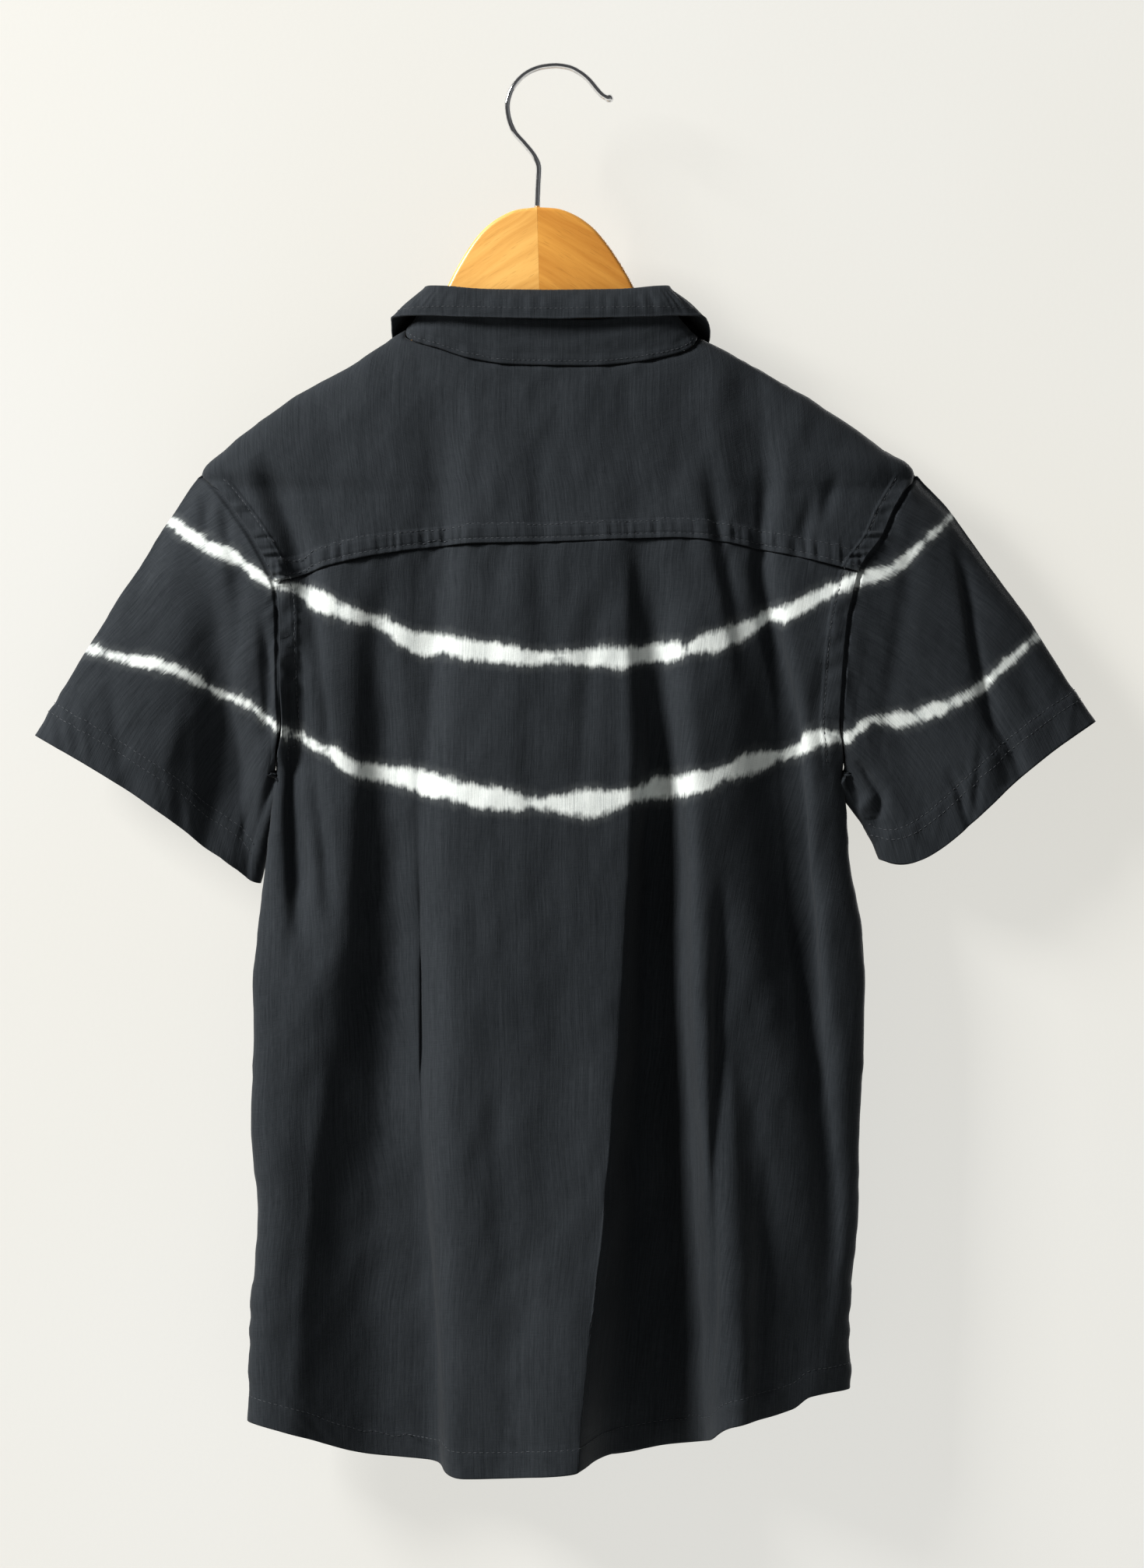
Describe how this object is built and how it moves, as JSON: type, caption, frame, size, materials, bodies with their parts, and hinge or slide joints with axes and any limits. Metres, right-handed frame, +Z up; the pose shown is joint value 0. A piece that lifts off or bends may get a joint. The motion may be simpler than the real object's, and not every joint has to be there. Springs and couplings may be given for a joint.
{
  "type": "short-sleeve shirt on a wooden hanger",
  "caption": "Short-sleeved woven shirt with a collar, back yoke, button front and white tie-dyed bands, hanging on a wooden hanger with a wire hook.",
  "frame": {"origin": "inner top of the hanger's hook, where a rail carries it", "axes": "+Z up, +Y towards the shirt's buttoned front, +X towards the wearer's right"},
  "size_m": [0.561, 0.0794, 0.7417],
  "materials": {
    "shirt_cloth": "matte charcoal slub cotton with two white tie-dyed bands",
    "button": "dark grey, satin",
    "hanger_wood": "honey-coloured wood under satin lacquer",
    "hook_chrome": "polished"
  },
  "bodies": {
    "root": {"back": "shirt_cloth", "yoke": "shirt_cloth", "front_left": "shirt_cloth", "front_right": "shirt_cloth", "sleeve_left": "shirt_cloth", "sleeve_right": "shirt_cloth", "collar_stand": "shirt_cloth", "collar_leaf": "shirt_cloth", "button_1": "button", "button_2": "button", "button_3": "button", "button_4": "button", "button_5": "button", "button_6": "button", "button_7": "button", "hanger_left": "hanger_wood", "hanger_right": "hanger_wood", "hook": "hook_chrome"}
  },
  "joints": []
}
